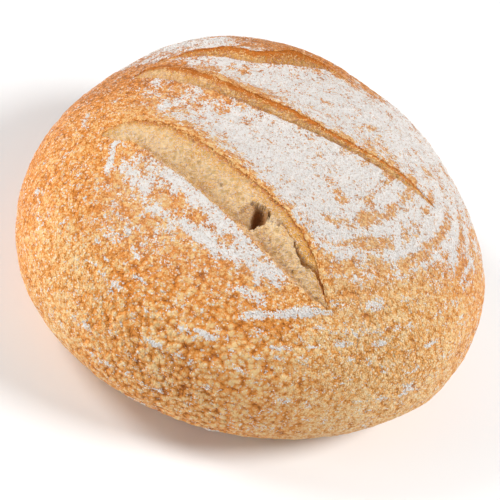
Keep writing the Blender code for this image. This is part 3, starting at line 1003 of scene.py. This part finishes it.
def clumpTree(name, sizes):
    tree = bpy.data.node_groups.new(name, "GeometryNodeTree")
    tree.is_modifier = True
    face = tree.interface
    face.new_socket("Geometry", in_out="INPUT", socket_type="NodeSocketGeometry")
    for label, value in sizes.items():
        kind = "NodeSocketInt" if isinstance(value, int) else "NodeSocketFloat"
        face.new_socket(label, in_out="INPUT", socket_type=kind).default_value = value
    face.new_socket("Finish", in_out="INPUT", socket_type="NodeSocketMaterial")
    face.new_socket("Geometry", in_out="OUTPUT", socket_type="NodeSocketGeometry")
    net = Net(tree)
    given = tree.nodes.new("NodeGroupInput")
    wires = {socket.name: Wire(net, socket) for socket in given.outputs if socket.name}
    rest = net.add("GeometryNodeInputNamedAttribute", {"data_type": "FLOAT_VECTOR"}, {"Name": "rest"})
    dust, ear, cutSide = (
        net.add("GeometryNodeInputNamedAttribute", {}, {"Name": label}) for label in ("dust", "ear", "cutSide")
    )
    _, grainTint = pebbleCells(net, rest, pebbles["grainSize"])
    flour = flourOn(net, rest, dust - ear * 0.6 - cutSide, grainTint)
    height = net.add("ShaderNodeSeparateXYZ", {}, {0: rest}, "Z")
    density = wires["Density"] * flour * dust * height.eased(3.0, 8.0)
    sockets = {"Mesh": wires["Geometry"], "Density": density, "Seed": wires["Seed"]}
    places = net.add("GeometryNodeDistributePointsOnFaces", {}, sockets)
    clump = net.add("GeometryNodeMeshIcoSphere", {}, {"Radius": mm, "Subdivisions": 1})
    sockets = {0: (0.0, 0.0, 0.0), 1: (6.3, 6.3, 6.3), "Seed": 1}
    turn = net.add("FunctionNodeRandomValue", {"data_type": "FLOAT_VECTOR"}, sockets)
    sockets = {2: wires["Smallest"], 3: wires["Largest"], "Seed": 2}
    size = net.add("FunctionNodeRandomValue", {"data_type": "FLOAT"}, sockets, 1)
    scale = net.add("ShaderNodeCombineXYZ", {}, {"X": size, "Y": size, "Z": size * wires["Flatness"]})
    sockets = {"Points": places, "Instance": clump, "Rotation": turn, "Scale": scale}
    placed = net.add("GeometryNodeInstanceOnPoints", {}, sockets)
    real = net.add("GeometryNodeRealizeInstances", {}, {"Geometry": placed})
    done = net.add("GeometryNodeSetMaterial", {}, {"Geometry": real, "Material": wires["Finish"]})
    result = tree.nodes.new("NodeGroupOutput")
    tree.links.new(done.socket, result.inputs[0])
    return tree


def flourFinish():
    material, net = newMaterial("flour")
    finishNet(net, {"Base Color": crustColours["flour"], "Roughness": 0.9, "Specular IOR Level": 0.3})
    return material


flour = bpy.data.objects.new("flour", crust.data.copy())
bpy.context.scene.collection.objects.link(flour)
applied(flour, clumpTree("flourClumps", flourClumps), {**flourClumps, "Finish": flourFinish()})
print("flour:", sum(len(face.vertices) - 2 for face in flour.data.polygons), "triangles")

points, faces, values = makeCrumb()
crumb = meshObject("crumb", points, faces, {"rest": points, **values})
applied(crumb, reliefTree("crumbRelief", crumbSizes, crumbRelief), crumbSizes)
crumb.data.materials.append(crumbFinish())
print("crumb:", sum(len(face) - 2 for face in faces), "triangles")

studio = {
    "floorWidth": 6.0,
    "lookDown": 45.0,  # degrees
    "roll": 21.0,
    "distance": 0.6276,
    "lens": 86.4,
    # lights: direction to the picture's right, to its top and to the camera, and power
    "lights": {
        "keyLight": (-0.6, 0.75, 0.55, 7.4),
        "leftLight": (-0.9, 0.1, 0.45, 6.6),
        "rightLight": (0.85, 0.25, 0.45, 12.6),
    },
    "lightDistance": 1.2,
    "lightSize": 0.45,
    "world": 0.2,
}


def makeFloor():
    half = studio["floorWidth"] / 2
    data = bpy.data.meshes.new("floor")
    data.from_pydata([(-half, -half, 0), (half, -half, 0), (half, half, 0), (-half, half, 0)], [], [(0, 1, 2, 3)])
    floor = bpy.data.objects.new("floor", data)
    bpy.context.scene.collection.objects.link(floor)
    material, net = newMaterial("floor")
    finishNet(net, {"Base Color": colour(0.96, 0.96, 0.96), "Roughness": 0.9})
    data.materials.append(material)


def makeCamera():
    down, roll = math.radians(studio["lookDown"]), math.radians(studio["roll"])
    back = Vector((0, -math.cos(down), math.sin(down)))
    right = Vector((1, 0, 0))
    up = back.cross(right)
    side = right * math.cos(roll) + up * math.sin(roll)
    top = up * math.cos(roll) - right * math.sin(roll)
    data = bpy.data.cameras.new("camera")
    data.sensor_width, data.lens = 36.0, studio["lens"]
    data.shift_x, data.shift_y = -0.0037, -0.0268
    data.clip_start, data.clip_end = 0.01, 50
    camera = bpy.data.objects.new("camera", data)
    bpy.context.scene.collection.objects.link(camera)
    aim = Vector((-planMiddle[0], -planMiddle[1], loafShape["bellyHeight"])) * mm
    camera.matrix_world = Matrix.Translation(aim + back * studio["distance"]) @ Matrix((side, top, back)).transposed().to_4x4()
    bpy.context.scene.camera = camera
    return side, top, back


def areaLight(name, direction, distance, size, power, tint=(1, 1, 1)):
    data = bpy.data.lights.new(name, "AREA")
    data.shape, data.size, data.energy, data.color = "DISK", size, power, tint
    light = bpy.data.objects.new(name, data)
    bpy.context.scene.collection.objects.link(light)
    direction = direction.normalized()
    light.location = direction * distance + Vector((0, 0, 0.05))
    light.rotation_mode = "QUATERNION"
    light.rotation_quaternion = direction.to_track_quat("Z", "Y")


makeFloor()
side, top, back = makeCamera()
for name, (toRight, toTop, toCamera, power) in studio["lights"].items():
    way = side * toRight + top * toTop + back * toCamera
    areaLight(name, way, studio["lightDistance"], studio["lightSize"], power)
world = bpy.data.worlds.new("studio")
world.use_nodes = True
world.node_tree.nodes["Background"].inputs[0].default_value = colour(1, 1, 1)
world.node_tree.nodes["Background"].inputs[1].default_value = studio["world"]
bpy.context.scene.world = world
bpy.context.scene.view_settings.view_transform = "Standard"
print("studio ready")

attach(crust, "root")
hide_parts("loaf")
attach(crumb, "root")
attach(flour, "root")
